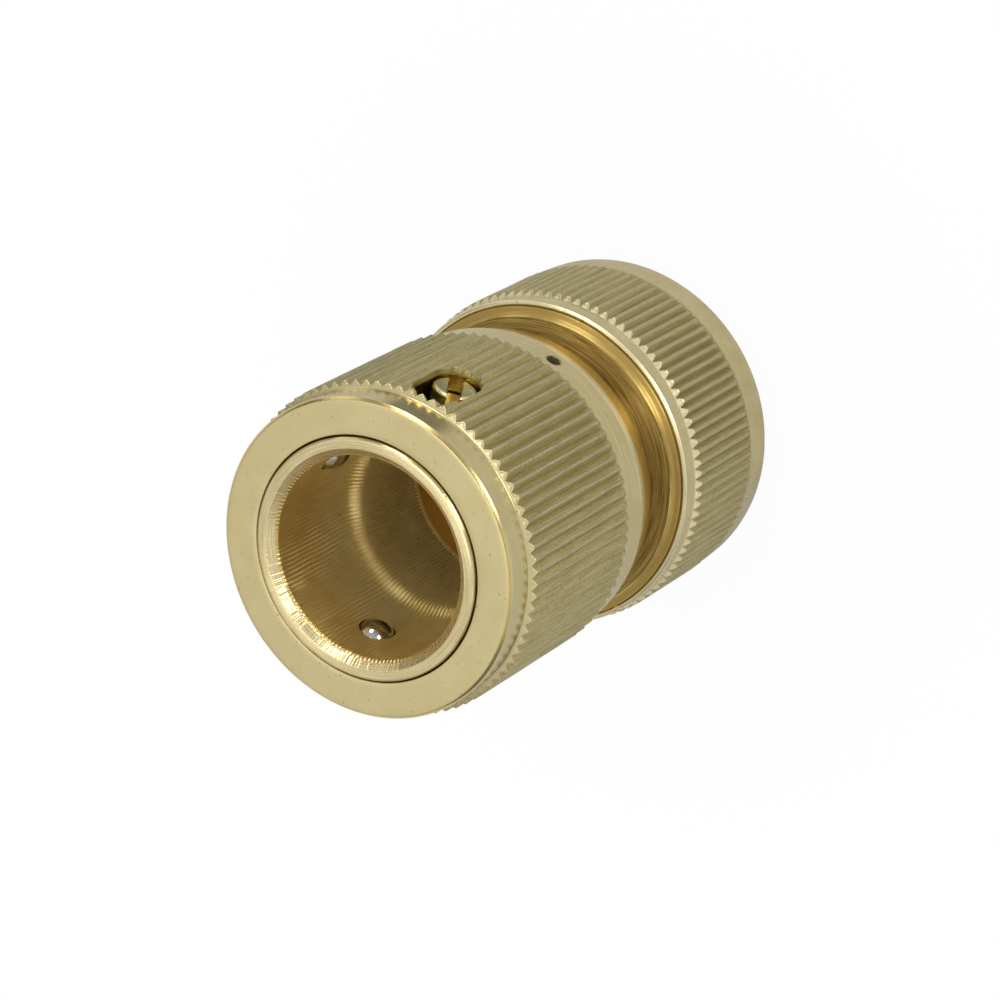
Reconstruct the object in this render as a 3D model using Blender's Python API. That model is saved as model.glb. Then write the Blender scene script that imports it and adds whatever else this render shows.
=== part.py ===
# Brass tap connector: the female quick-release socket that snaps onto a tap's nipple,
# with a hose tail and a clamping nut behind it. It stands on the nut's hose end.
# Metres. +Z runs along the connector's axis, from the hose end up to the socket's mouth.

import bmesh
import bpy
from math import atan, cos, pi, radians, sin
from mathutils import Matrix

# Clearances shared by the pieces that meet
SEAT_GAP = 0.0003           # between faces that rest on each other
SLIDING_CLEARANCE = 0.0002  # collar on barrel and on the spring shoulder
THREAD_CLEARANCE = 0.00012  # nut on the body's thread
BALL_CLEARANCE = 0.0001     # ball in its pocket and under the ramp
HOSE_CLEARANCE = 0.0002     # open grip ring round the hose

# Socket that takes the nipple
SOCKET_BORE_RADIUS = 0.00878
SOCKET_DEPTH = 0.0113
SEAL_STEP = 0.00078         # how much narrower the sealing bore is
SEAL_BORE_END = 0.0207      # depth below the collar's face
LEAD_IN = 0.0008            # chamfer of the mouth
BARREL_WALL = 0.00167
RIM_PROUD = 0.00026         # the barrel's rim above the collar's face
RIM_EDGE = 0.0004

# Water passage and hose tail
WATER_BORE_RADIUS = 0.0045
TAIL_WALL = 0.0014
TAIL_SETBACK = 0.0008
BARB_HEIGHT = 0.0006
BARB_COUNT = 3
BARB_LAND = 0.0007          # level root above each barb
BARB_BACK = 0.00015         # drop of the barb's steep side
HOSE_WALL = 0.0025

# Neck, flange and thread of the body
NECK_RADIUS = 0.0099
NECK_FILLET = 0.0012
FLANGE_LIP = 0.00162
FLANGE_THICKNESS = 0.0024
FLANGE_EDGE = 0.0002
FLANGE_PROUD = 0.00046      # the flange's face above the nut's rim
THREAD_LENGTH = 0.0046
THREAD_RELIEF = 0.0006
THREAD_CHAMFER = 0.0005

# Grip ring that the nut closes on the hose
RING_WALL = 0.0028
RING_TOOTH = 0.0004
RING_TOOTH_COUNT = 3
RING_TOOTH_SLOPE = 0.2      # slanted share of each tooth's pitch
FINGER_COUNT = 6
FINGER_SLIT = 0.0009
FINGER_ROOT = 0.0024        # uncut length at the ring's front

# Clamping nut
NUT_LENGTH = 0.0161
NUT_LIP = 0.0016
NUT_LIP_OPENING = 0.0007    # the hose opening beyond the ring's inside
NUT_CONE_REACH = 0.0016     # how far the closing cone comes in
NUT_CONE_LENGTH = 0.0050
NUT_COUNTERBORE_CLEARANCE = 0.0004
NUT_RIM_WALL = 0.00045
NUT_TEETH = 100
NUT_TOOTH_DEPTH = 0.00037
NUT_SHOULDER_LENGTH = 0.0015
NUT_TOOTH_RUN_OUT = 0.0009
NUT_PLAIN_END = 0.0041
NUT_END_ROUND = 0.0022

# Locking balls, seen from above counter-clockwise from +X
BALL_RADIUS = 0.00175
BALL_PROUD = 0.00085        # how far a locked ball stands into the bore
BALL_COUNT = 3
FIRST_BALL_DEGREES = 100.0

# Sliding collar
COLLAR_TRAVEL = 0.0030
COLLAR_LENGTH = 0.0247
COLLAR_REAR_CLEARANCE = 0.00024
COLLAR_LIP = 0.0005
LIP_BALL_CLEARANCE = 0.00025
RECESS_WALL = 0.00083
COLLAR_EDGE = 0.00018
COLLAR_SHOULDER_LENGTH = 0.0027
COLLAR_TEETH = 84
COLLAR_TOOTH_DEPTH = 0.00045
TOOTH_STEP = 0.0002         # tooth roots above the front shoulder
KNURL_LENGTH = 0.0161
REAR_SHOULDER_DROP = 0.0005
REAR_TAPER_LENGTH = 0.0029
REAR_TAPER_DROP = 0.00085
SKIRT_OVERLAP = 0.0024      # collar past the spring shoulder's top
SHOULDER_THICKNESS = 0.0016

# Stop screw and the collar's slot
SCREW_DEGREES = 40.0
SCREW_BEHIND_BALLS = 0.0029
SCREW_HEAD_RADIUS = 0.0019
SCREW_HEAD_DROP = 0.0009    # head's top below the tooth crests
SCREW_EDGE = 0.0002
SCREW_SHANK_RADIUS = 0.00115
SCREW_POINT_SETBACK = 0.0002
DRIVER_SLOT_WIDTH = 0.00105
DRIVER_SLOT_DEPTH = 0.0012
DRIVER_SLOT_DEGREES = 117.0  # from level, turning towards the mouth
SLOT_SIDE_CLEARANCE = 0.00015
SLOT_FRONT_CLEARANCE = 0.00025
SLOT_WEB = 0.0009
SLOT_END_STEPS = 8

# Collar spring
SPRING_WIRE_RADIUS = 0.0005
SPRING_ROOM = 0.0003        # beside the coil, inside and outside
SPRING_TURNS = 6.0
SPRING_CLOSED_TURNS = 0.9
SPRING_CLOSED_GAP = 0.0001  # between the turns of a closed end

TURNED_SIDES = 40
PIN_SIDES = 20
BALL_SIDES = 12
BALL_BANDS = 8
SPRING_STEPS = 16           # points in each turn
CUTTER_OVERRUN = 0.001      # how far a cutter runs past the wall
SHARP_ANGLE = radians(32)

# Radii that follow from the sizes above
barrelRadius = SOCKET_BORE_RADIUS + BARREL_WALL
sealBoreRadius = SOCKET_BORE_RADIUS - SEAL_STEP
tailRadius = WATER_BORE_RADIUS + TAIL_WALL
barbRadius = tailRadius + BARB_HEIGHT
ringBore = barbRadius + HOSE_WALL + HOSE_CLEARANCE
ringRadius = ringBore + RING_WALL
threadRadius = ringRadius + SEAT_GAP
nutThreadBore = threadRadius + THREAD_CLEARANCE
flangeRadius = threadRadius + FLANGE_LIP
nutCounterbore = flangeRadius + NUT_COUNTERBORE_CLEARANCE
nutRimRadius = nutCounterbore + NUT_RIM_WALL
nutCrestRadius = nutRimRadius + NUT_TOOTH_DEPTH
nutConeSmall = nutThreadBore - NUT_CONE_REACH
ballTrackRadius = SOCKET_BORE_RADIUS - BALL_PROUD + BALL_RADIUS
rampRatio = BALL_PROUD / COLLAR_TRAVEL
rampAtBall = ballTrackRadius + (BALL_RADIUS + BALL_CLEARANCE) / cos(atan(rampRatio))
collarBore = barrelRadius + SLIDING_CLEARANCE
springRadius = barrelRadius + SPRING_ROOM + SPRING_WIRE_RADIUS
springChamber = springRadius + SPRING_WIRE_RADIUS + SPRING_ROOM
shoulderRadius = springChamber - SLIDING_CLEARANCE

# Levels along Z, from the nut's hose end up
flangeTop = NUT_LENGTH + FLANGE_PROUD
flangeBottom = flangeTop - FLANGE_THICKNESS
nutSeat = flangeBottom - SEAT_GAP
threadEnd = flangeBottom - THREAD_LENGTH
collarRear = flangeTop + COLLAR_TRAVEL + COLLAR_REAR_CLEARANCE
collarFront = collarRear + COLLAR_LENGTH
mouthTop = collarFront + RIM_PROUD
ballLevel = collarFront - COLLAR_LIP - COLLAR_TRAVEL - LIP_BALL_CLEARANCE - BALL_RADIUS
screwLevel = ballLevel - SCREW_BEHIND_BALLS
slotTop = screwLevel + SCREW_HEAD_RADIUS + COLLAR_TRAVEL + SLOT_FRONT_CLEARANCE
slotBottom = screwLevel - SCREW_HEAD_RADIUS - SEAT_GAP
springSeat = slotBottom - SLOT_WEB
shoulderTop = collarRear + SKIRT_OVERLAP
shoulderBottom = shoulderTop - SHOULDER_THICKNESS
rampFoot = ballLevel - BALL_RADIUS
recessTop = collarFront - COLLAR_LIP
recessRadius = rampAtBall + rampRatio * (recessTop - ballLevel)
frontShoulderRadius = recessRadius + RECESS_WALL
collarCrestRadius = frontShoulderRadius + TOOTH_STEP + COLLAR_TOOTH_DEPTH
rearShoulderRadius = collarCrestRadius - REAR_SHOULDER_DROP


def clearScene():
    for item in list(bpy.data.objects):
        bpy.data.objects.remove(item)


def makeMaterial(name, colour, roughness, metallic):
    material = bpy.data.materials.new(name)
    material.use_nodes = True
    shader = material.node_tree.nodes["Principled BSDF"]
    shader.inputs["Base Color"].default_value = (*colour, 1.0)
    shader.inputs["Roughness"].default_value = roughness
    shader.inputs["Metallic"].default_value = metallic
    return material


def addPiece(name, data, material, parent, level=0.0):
    piece = bpy.data.objects.new(name, data)
    bpy.context.scene.collection.objects.link(piece)
    piece.data.materials.append(material)
    piece.location.z = level
    piece.parent = parent
    return piece


def meshFrom(bm, name, level=0.0):
    bmesh.ops.recalc_face_normals(bm, faces=bm.faces)
    if bm.calc_volume(signed=True) < 0:
        bmesh.ops.reverse_faces(bm, faces=bm.faces)
    bmesh.ops.translate(bm, verts=bm.verts, vec=(0, 0, -level))
    mesh = bpy.data.meshes.new(name)
    bm.to_mesh(mesh)
    bm.free()
    mesh.shade_smooth()
    mesh.set_sharp_from_angle(angle=SHARP_ANGLE)
    return mesh


def plainRing(radius, level, count):
    return [
        (radius * cos(2 * pi * i / count), radius * sin(2 * pi * i / count), level)
        for i in range(count)
    ]


def toothedRing(rootRadius, rootLevel, crestRadius, crestLevel, teeth):
    # Roots sit at a plain ring's corners, crests half way between them
    points = []
    for i in range(teeth):
        root = 2 * pi * i / teeth
        crest = root + pi / teeth
        points.append((rootRadius * cos(root), rootRadius * sin(root), rootLevel))
        points.append((crestRadius * cos(crest), crestRadius * sin(crest), crestLevel))
    return points


def bridge(bm, low, high):
    # Equal rings give quads. A ring with twice the corners gives three triangles for each edge.
    if len(low) == len(high):
        for i in range(len(low)):
            j = (i + 1) % len(low)
            bm.faces.new((low[i], low[j], high[j], high[i]))
        return
    few, many = (low, high) if len(low) < len(high) else (high, low)
    for i in range(len(few)):
        j = (i + 1) % len(few)
        a, b, c = many[2 * i], many[2 * i + 1], many[(2 * i + 2) % len(many)]
        bm.faces.new((few[i], few[j], b))
        bm.faces.new((few[i], b, a))
        bm.faces.new((few[j], c, b))


def loft(rings, closed=True):
    # Skins rings in the order of the section's outline, which closes on itself or is capped
    bm = bmesh.new()
    made = [[bm.verts.new(point) for point in ring] for ring in rings]
    for low, high in zip(made, made[1:]):
        bridge(bm, low, high)
    if closed:
        bridge(bm, made[-1], made[0])
    else:
        bm.faces.new(made[0])
        bm.faces.new(made[-1])
    return bm


def turned(outline, sides):
    return [plainRing(radius, level, sides) for radius, level in outline]


def quarterRound(centreRadius, centreLevel, size, startDegrees, endDegrees, steps):
    points = []
    for i in range(steps + 1):
        angle = radians(startDegrees + (endDegrees - startDegrees) * i / steps)
        points.append((centreRadius + size * cos(angle), centreLevel + size * sin(angle)))
    return points


def addCutter(name, bm, target, level=0.0):
    cutter = bpy.data.objects.new(name, meshFrom(bm, name, level))
    bpy.context.scene.collection.objects.link(cutter)
    cutter.parent = target
    cutter.hide_render = True
    cutter.display_type = "WIRE"
    cut = target.modifiers.new(name, "BOOLEAN")
    cut.operation = "DIFFERENCE"
    cut.solver = "EXACT"
    cut.object = cutter
    return cutter


def radialPlacement(degrees, radius, level):
    # Local +Z points straight out from the axis, and local X stays level
    turn = Matrix.Rotation(radians(degrees), 4, "Z")
    lay = Matrix.Rotation(pi / 2, 4, "Y")
    spin = Matrix.Rotation(pi / 2, 4, "Z")
    return turn @ Matrix.Translation((radius, 0, level)) @ lay @ spin


def ballAngles():
    return [FIRST_BALL_DEGREES + 360.0 * i / BALL_COUNT for i in range(BALL_COUNT)]


def bodyOutline():
    coneFoot = collarFront - SEAL_BORE_END - (sealBoreRadius - WATER_BORE_RADIUS)
    stepTop = collarFront - SOCKET_DEPTH
    reliefRadius = threadRadius - THREAD_RELIEF
    reliefEnd = flangeBottom - 2 * THREAD_RELIEF
    outline = [(SOCKET_BORE_RADIUS + LEAD_IN, mouthTop)]
    outline += quarterRound(barrelRadius - RIM_EDGE, mouthTop - RIM_EDGE, RIM_EDGE, 90, 0, 2)
    outline += [
        (barrelRadius, shoulderTop),
        (shoulderRadius, shoulderTop),
        (shoulderRadius, shoulderBottom),
        (NECK_RADIUS, shoulderBottom),
    ]
    outline += quarterRound(
        NECK_RADIUS + NECK_FILLET, flangeTop + NECK_FILLET, NECK_FILLET, 180, 270, 2
    )
    outline += [
        (flangeRadius - FLANGE_EDGE, flangeTop),
        (flangeRadius, flangeTop - FLANGE_EDGE),
        (flangeRadius, flangeBottom),
        (reliefRadius, flangeBottom),
        (reliefRadius, reliefEnd),
        (threadRadius, reliefEnd - THREAD_RELIEF),
        (threadRadius, threadEnd + THREAD_CHAMFER),
        (threadRadius - THREAD_CHAMFER, threadEnd),
    ]
    barbPitch = (threadEnd - TAIL_SETBACK) / BARB_COUNT
    for i in range(BARB_COUNT):
        top = threadEnd - i * barbPitch
        outline += [(tailRadius, top), (tailRadius, top - BARB_LAND)]
        outline += [(barbRadius, top - BARB_LAND - BARB_BACK)]
    outline += [(tailRadius, TAIL_SETBACK)]
    outline += [
        (WATER_BORE_RADIUS, TAIL_SETBACK),
        (WATER_BORE_RADIUS, coneFoot),
        (sealBoreRadius, collarFront - SEAL_BORE_END),
        (sealBoreRadius, stepTop - SEAL_STEP),
        (SOCKET_BORE_RADIUS, stepTop),
        (SOCKET_BORE_RADIUS, mouthTop - LEAD_IN),
    ]
    return outline


def pocketCutter(degrees):
    # A straight pocket from outside, narrowed at the bore so that the ball can't fall through
    chord = (BALL_RADIUS**2 - (BALL_RADIUS - BALL_PROUD) ** 2) ** 0.5
    below = BALL_RADIUS - BALL_PROUD
    pocket = BALL_RADIUS + BALL_CLEARANCE
    mouth = chord + BALL_CLEARANCE
    taper = (pocket - mouth) / below
    deeper = below + BALL_PROUD
    rings = [
        plainRing(pocket - taper * deeper, -deeper, PIN_SIDES),
        plainRing(pocket, 0, PIN_SIDES),
        plainRing(pocket, BALL_RADIUS + CUTTER_OVERRUN, PIN_SIDES),
    ]
    bm = loft(rings, closed=False)
    bm.transform(radialPlacement(degrees, ballTrackRadius, ballLevel))
    return bm


def makeBody(brass, parent):
    rings = turned(bodyOutline(), TURNED_SIDES)
    body = addPiece("coupling_body", meshFrom(loft(rings), "coupling_body"), brass, parent)
    for i, degrees in enumerate(ballAngles()):
        addCutter(f"ball_pocket_{i + 1}", pocketCutter(degrees), body)
    hole = SCREW_SHANK_RADIUS + BALL_CLEARANCE
    depth = BARREL_WALL + CUTTER_OVERRUN
    rings = [plainRing(hole, -depth, PIN_SIDES), plainRing(hole, CUTTER_OVERRUN, PIN_SIDES)]
    tapped = loft(rings, closed=False)
    tapped.transform(radialPlacement(SCREW_DEGREES, barrelRadius, screwLevel))
    addCutter("screw_hole", tapped, body)
    return body


def slotShape():
    # Milled with a round-ended cutter, straight through the collar's wall
    halfWidth = SCREW_HEAD_RADIUS + SLOT_SIDE_CLEARANCE
    steps = SLOT_END_STEPS
    points = []
    for i in range(steps + 1):
        angle = pi * i / steps
        points.append((halfWidth * cos(angle), slotTop - halfWidth + halfWidth * sin(angle)))
    for i in range(steps + 1):
        angle = pi + pi * i / steps
        points.append((halfWidth * cos(angle), slotBottom + halfWidth + halfWidth * sin(angle)))
    return points


def slotCutter():
    reach = collarCrestRadius + CUTTER_OVERRUN
    inside = SOCKET_BORE_RADIUS
    rings = [
        [(distance, across, level) for across, level in slotShape()]
        for distance in (inside, reach)
    ]
    bm = loft(rings, closed=False)
    bm.transform(Matrix.Rotation(radians(SCREW_DEGREES), 4, "Z"))
    return bm


def makeCollar(brass, parent):
    sides = COLLAR_TEETH // 2
    teeth = COLLAR_TEETH
    knurlTop = collarFront - COLLAR_SHOULDER_LENGTH - COLLAR_EDGE / 2
    knurlBottom = knurlTop - KNURL_LENGTH
    rootRadius = frontShoulderRadius + TOOTH_STEP
    taperTop = collarRear + REAR_TAPER_LENGTH
    rampFootRadius = rampAtBall - rampRatio * (ballLevel - rampFoot)
    rings = [plainRing(collarBore + COLLAR_EDGE, collarFront, sides)]
    rings += turned(
        [
            (frontShoulderRadius - COLLAR_EDGE, collarFront),
            (frontShoulderRadius, collarFront - COLLAR_EDGE),
            (frontShoulderRadius, knurlTop + COLLAR_EDGE / 2),
        ],
        teeth,
    )
    rings += [
        toothedRing(rootRadius, knurlTop, collarCrestRadius, knurlTop, teeth),
        toothedRing(rootRadius, knurlBottom, collarCrestRadius, knurlBottom, teeth),
    ]
    rings += turned(
        [
            (rearShoulderRadius, knurlBottom - COLLAR_EDGE),
            (rearShoulderRadius, taperTop),
            (rearShoulderRadius - REAR_TAPER_DROP, collarRear),
        ],
        teeth,
    )
    rings += turned(
        [
            (springChamber, collarRear),
            (springChamber, springSeat),
            (collarBore, springSeat),
            (collarBore, rampFoot - COLLAR_EDGE),
            (rampFootRadius, rampFoot),
            (recessRadius, recessTop),
            (collarBore, recessTop),
            (collarBore, collarFront - COLLAR_EDGE),
        ],
        sides,
    )
    mesh = meshFrom(loft(rings), "lock_collar", collarRear)
    collar = addPiece("lock_collar", mesh, brass, parent, collarRear)
    addCutter("stop_slot", slotCutter(), collar, collarRear)
    return collar


def makeNut(brass, parent):
    sides = NUT_TEETH // 2
    teeth = NUT_TEETH
    edge = COLLAR_EDGE
    shoulderEnd = NUT_LENGTH - NUT_SHOULDER_LENGTH
    crestTop = shoulderEnd - NUT_TOOTH_RUN_OUT
    endRadius = nutRimRadius + NUT_TOOTH_DEPTH / 2
    lipOpening = ringBore + NUT_LIP_OPENING
    rings = turned([(nutCounterbore + edge, NUT_LENGTH)], sides)
    rings += turned(
        [
            (nutRimRadius - edge, NUT_LENGTH),
            (nutRimRadius, NUT_LENGTH - edge),
            (nutRimRadius, shoulderEnd),
        ],
        teeth,
    )
    rings += [
        toothedRing(nutRimRadius, shoulderEnd - edge, nutCrestRadius, crestTop, teeth),
        toothedRing(nutRimRadius, NUT_PLAIN_END, nutCrestRadius, NUT_PLAIN_END, teeth),
    ]
    rings += turned([(endRadius, NUT_PLAIN_END - edge)], teeth)
    rings += turned(
        quarterRound(endRadius - NUT_END_ROUND, NUT_END_ROUND, NUT_END_ROUND, 0, -90, 3), teeth
    )
    rings += turned(
        [
            (lipOpening + edge, 0),
            (lipOpening, edge),
            (lipOpening, NUT_LIP),
            (nutConeSmall, NUT_LIP),
            (nutThreadBore, NUT_LIP + NUT_CONE_LENGTH),
            (nutThreadBore, nutSeat),
            (nutCounterbore, nutSeat),
            (nutCounterbore, NUT_LENGTH - edge),
        ],
        sides,
    )
    return addPiece("clamp_nut", meshFrom(loft(rings), "clamp_nut"), brass, parent)


def makeGripRing(plastic, parent):
    front = threadEnd - SEAT_GAP
    rear = NUT_LIP + SEAT_GAP
    slope = NUT_CONE_REACH / NUT_CONE_LENGTH
    rearRadius = nutConeSmall + slope * SEAT_GAP - SEAT_GAP
    coneTop = rear + (ringRadius - rearRadius) / slope
    outline = [
        (ringRadius, front),
        (ringRadius, coneTop),
        (rearRadius, rear),
    ]
    pitch = (front - rear) / (RING_TOOTH_COUNT + 1)
    outline += [(ringBore + RING_TOOTH, rear)]
    for i in range(RING_TOOTH_COUNT):
        level = rear + (i + 0.5) * pitch
        outline += [(ringBore, level), (ringBore + RING_TOOTH, level + RING_TOOTH_SLOPE * pitch)]
    outline += [(ringBore + RING_TOOTH, front)]
    mesh = meshFrom(loft(turned(outline, TURNED_SIDES)), "hose_grip_ring", rear)
    ring = addPiece("hose_grip_ring", mesh, plastic, parent, rear)
    for i in range(FINGER_COUNT):
        slit = bmesh.new()
        bmesh.ops.create_cube(slit, size=1.0)
        height = front - rear - FINGER_ROOT
        reach = 2 * RING_WALL
        slit.transform(Matrix.Diagonal((reach, FINGER_SLIT, 2 * height, 1)))
        slit.transform(Matrix.Translation((ringBore + RING_WALL / 2, 0, rear)))
        slit.transform(Matrix.Rotation(2 * pi * (i + 0.5) / FINGER_COUNT, 4, "Z"))
        addCutter(f"finger_slit_{i + 1}", slit, ring, rear)
    return ring


def makeBalls(steel, parent):
    ball = bmesh.new()
    bmesh.ops.create_uvsphere(
        ball, u_segments=BALL_SIDES, v_segments=BALL_BANDS, radius=BALL_RADIUS
    )
    mesh = meshFrom(ball, "lock_ball")
    for polygon in mesh.polygons:
        polygon.use_smooth = True
    mesh.materials.append(steel)
    for i, degrees in enumerate(ballAngles()):
        piece = bpy.data.objects.new(f"lock_ball_{i + 1}", mesh)
        bpy.context.scene.collection.objects.link(piece)
        piece.location = radialPlacement(degrees, ballTrackRadius, ballLevel).to_translation()
        piece.rotation_euler.z = radians(degrees)
        piece.parent = parent


def makeScrew(brass, parent):
    # Local +Z is the screw's own axis. Its head rests on the barrel.
    headTop = collarCrestRadius - SCREW_HEAD_DROP - barrelRadius
    headFoot = SEAT_GAP
    point = SCREW_POINT_SETBACK - BARREL_WALL
    rings = turned(
        [
            (SCREW_SHANK_RADIUS, point),
            (SCREW_SHANK_RADIUS, headFoot),
            (SCREW_HEAD_RADIUS, headFoot),
            (SCREW_HEAD_RADIUS, headTop - SCREW_EDGE),
            (SCREW_HEAD_RADIUS - SCREW_EDGE, headTop),
        ],
        PIN_SIDES,
    )
    mesh = meshFrom(loft(rings, closed=False), "stop_screw")
    screw = addPiece("stop_screw", mesh, brass, parent)
    screw.matrix_world = radialPlacement(SCREW_DEGREES, barrelRadius, screwLevel)
    slot = bmesh.new()
    bmesh.ops.create_cube(slot, size=1.0)
    length = 3 * SCREW_HEAD_RADIUS
    slot.transform(Matrix.Diagonal((length, DRIVER_SLOT_WIDTH, 2 * DRIVER_SLOT_DEPTH, 1)))
    slot.transform(Matrix.Translation((0, 0, headTop)))
    slot.transform(Matrix.Rotation(radians(DRIVER_SLOT_DEGREES), 4, "Z"))
    addCutter("driver_slot", slot, screw)
    return screw


def makeSpring(steel, parent):
    # Closed end turns lie flat against the shoulder and the collar's seat
    bottom = shoulderTop + SEAT_GAP + SPRING_WIRE_RADIUS
    top = springSeat - SEAT_GAP - SPRING_WIRE_RADIUS
    closedPitch = 2 * SPRING_WIRE_RADIUS + SPRING_CLOSED_GAP
    closedRise = SPRING_CLOSED_TURNS * closedPitch
    openTurns = SPRING_TURNS - 2 * SPRING_CLOSED_TURNS
    openPitch = (top - bottom - 2 * closedRise) / openTurns
    count = int(SPRING_TURNS * SPRING_STEPS)
    curve = bpy.data.curves.new("collar_spring", "CURVE")
    curve.dimensions = "3D"
    curve.bevel_depth = SPRING_WIRE_RADIUS
    curve.bevel_resolution = 1
    curve.use_fill_caps = True
    spline = curve.splines.new("POLY")
    spline.points.add(count)
    for i, point in enumerate(spline.points):
        turn = SPRING_TURNS * i / count
        lower = min(turn, SPRING_CLOSED_TURNS) * closedPitch
        middle = min(max(turn - SPRING_CLOSED_TURNS, 0), openTurns) * openPitch
        upper = max(turn - SPRING_CLOSED_TURNS - openTurns, 0) * closedPitch
        angle = 2 * pi * turn
        level = lower + middle + upper
        point.co = (springRadius * cos(angle), springRadius * sin(angle), level, 1)
    return addPiece("collar_spring", curve, steel, parent, bottom)


clearScene()
connector = bpy.data.objects.new("tap_connector", None)
bpy.context.scene.collection.objects.link(connector)
turnedBrass = makeMaterial("turned brass", (0.55, 0.47, 0.24), 0.34, 1.0)
knurledBrass = makeMaterial("tumbled brass", (0.52, 0.46, 0.28), 0.48, 1.0)
polishedSteel = makeMaterial("polished steel", (0.72, 0.72, 0.70), 0.12, 1.0)
springSteel = makeMaterial("spring steel", (0.45, 0.45, 0.46), 0.30, 1.0)
whitePlastic = makeMaterial("moulded acetal", (0.80, 0.80, 0.78), 0.45, 0.0)
makeBody(turnedBrass, connector)
makeCollar(knurledBrass, connector)
makeNut(knurledBrass, connector)
makeGripRing(whitePlastic, connector)
makeBalls(polishedSteel, connector)
makeScrew(turnedBrass, connector)
makeSpring(springSteel, connector)
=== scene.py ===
import random
from functools import partial
from math import cos, pi, radians, sin, sqrt
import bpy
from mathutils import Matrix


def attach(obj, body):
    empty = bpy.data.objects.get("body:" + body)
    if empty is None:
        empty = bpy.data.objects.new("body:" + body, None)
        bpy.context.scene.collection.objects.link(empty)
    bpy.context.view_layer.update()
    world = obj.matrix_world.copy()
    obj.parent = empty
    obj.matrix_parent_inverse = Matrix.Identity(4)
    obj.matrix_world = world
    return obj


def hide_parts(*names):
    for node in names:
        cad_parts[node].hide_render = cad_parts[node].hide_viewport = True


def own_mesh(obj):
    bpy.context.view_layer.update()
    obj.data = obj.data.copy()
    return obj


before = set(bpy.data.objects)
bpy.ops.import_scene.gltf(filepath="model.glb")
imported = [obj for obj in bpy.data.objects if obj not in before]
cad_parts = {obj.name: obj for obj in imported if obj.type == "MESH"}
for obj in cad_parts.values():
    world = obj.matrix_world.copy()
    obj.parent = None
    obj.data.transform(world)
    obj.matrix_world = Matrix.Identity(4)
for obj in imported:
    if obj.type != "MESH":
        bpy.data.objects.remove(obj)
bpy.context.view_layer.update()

from types import SimpleNamespace

import bmesh
import bpy
import numpy as np
from mathutils import Matrix, Vector

mm = 0.001
fullTurn = 2 * pi


def linearColour(hexText):
    channels = [int(hexText[i:i + 2], 16) / 255 for i in (1, 3, 5)]
    return [c / 12.92 if c <= 0.04045 else ((c + 0.055) / 1.055) ** 2.4 for c in channels] + [1.0]


def setInputs(node, links):
    # links holds a number, a hex colour, a node or one of its outputs for each input
    for name, value in links.items():
        if value is None:
            continue
        if isinstance(name, int):
            socket = node.inputs[name]
        else:
            socket = next(s for s in node.inputs if s.name == name and s.enabled)
        if isinstance(value, bpy.types.Node):
            value = next(s for s in value.outputs if s.enabled)
        if isinstance(value, bpy.types.NodeSocket):
            node.id_data.links.new(value, socket)
        else:
            socket.default_value = linearColour(value) if isinstance(value, str) else value


def addNode(tree, kind, links=None, **settings):
    node = tree.nodes.new("ShaderNode" + kind)
    for name, value in settings.items():
        setattr(node, name, value)
    setInputs(node, links or {})
    return node


def softCorners(outline, steps=3):
    # outline holds (radius, level, size of the corner's round), all in mm
    points = []
    count = len(outline)
    for i in range(count):
        here = Vector(outline[i][:2])
        size = outline[i][2]
        if size == 0:
            points.append(tuple(here))
            continue
        back = Vector(outline[i - 1][:2]) - here
        ahead = Vector(outline[(i + 1) % count][:2]) - here
        start = here + back.normalized() * min(size, back.length * 0.48)
        end = here + ahead.normalized() * min(size, ahead.length * 0.48)
        for k in range(steps + 1):
            t = k / steps
            points.append(tuple(start.lerp(here, t).lerp(here.lerp(end, t), t)))
    return points


def divideRuns(points, longest):
    divided = []
    for start, end in zip(points, points[1:]):
        length = sqrt((end[0] - start[0]) ** 2 + (end[1] - start[1]) ** 2)
        parts = max(1, int(np.ceil(length / longest)))
        for k in range(parts):
            t = k / parts
            divided.append((start[0] + (end[0] - start[0]) * t, start[1] + (end[1] - start[1]) * t))
    divided.append(points[-1])
    return divided


def evenAngles(count):
    return np.arange(count) * fullTurn / count


def turnedRings(points, angles, shape=None):
    rings = []
    for radius, level in points:
        r = np.full(len(angles), float(radius))
        z = np.full(len(angles), float(level))
        if shape:
            r, z = shape(r, z, angles)
        rings.append(np.stack([r * np.cos(angles), r * np.sin(angles), z], axis=1) * mm)
    return rings


def skinRings(name, rings, closed=True):
    # Rings of one length are joined by quads. Where one has more points, it is joined by fans.
    starts = np.cumsum([0] + [len(ring) for ring in rings]).tolist()
    faces = []
    for low in range(len(rings) if closed else len(rings) - 1):
        high = (low + 1) % len(rings)
        a, b = len(rings[low]), len(rings[high])
        if a == b:
            i = np.arange(a)
            j = (i + 1) % a
            quads = np.stack([starts[low] + i, starts[low] + j, starts[high] + j, starts[high] + i], 1)
            faces.extend(quads.tolist())
            continue
        few, many = (low, high) if a < b else (high, low)
        less, more = sorted((a, b))
        share = more // less
        middle = share // 2
        for i in range(less):
            near = starts[few] + i
            far = starts[few] + (i + 1) % less
            fan = [starts[many] + (share * i + k) % more for k in range(share + 1)]
            for k in range(share):
                faces.append([near if k < middle else far, fan[k + 1], fan[k]])
            faces.append([near, far, fan[middle]])
    if not closed:
        faces.append(list(range(starts[0], starts[1])))
        faces.append(list(range(starts[-2], starts[-1])))
    mesh = bpy.data.meshes.new(name)
    mesh.from_pydata(np.concatenate(rings).tolist(), [], faces)
    mesh.validate()
    bm = bmesh.new()
    bm.from_mesh(mesh)
    bmesh.ops.recalc_face_normals(bm, faces=bm.faces)
    if bm.calc_volume(signed=True) < 0:
        bmesh.ops.reverse_faces(bm, faces=bm.faces)
    bm.to_mesh(mesh)
    bm.free()
    return mesh


def addObject(name, data):
    made = bpy.data.objects.new(name, data)
    bpy.context.scene.collection.objects.link(made)
    return made


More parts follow.
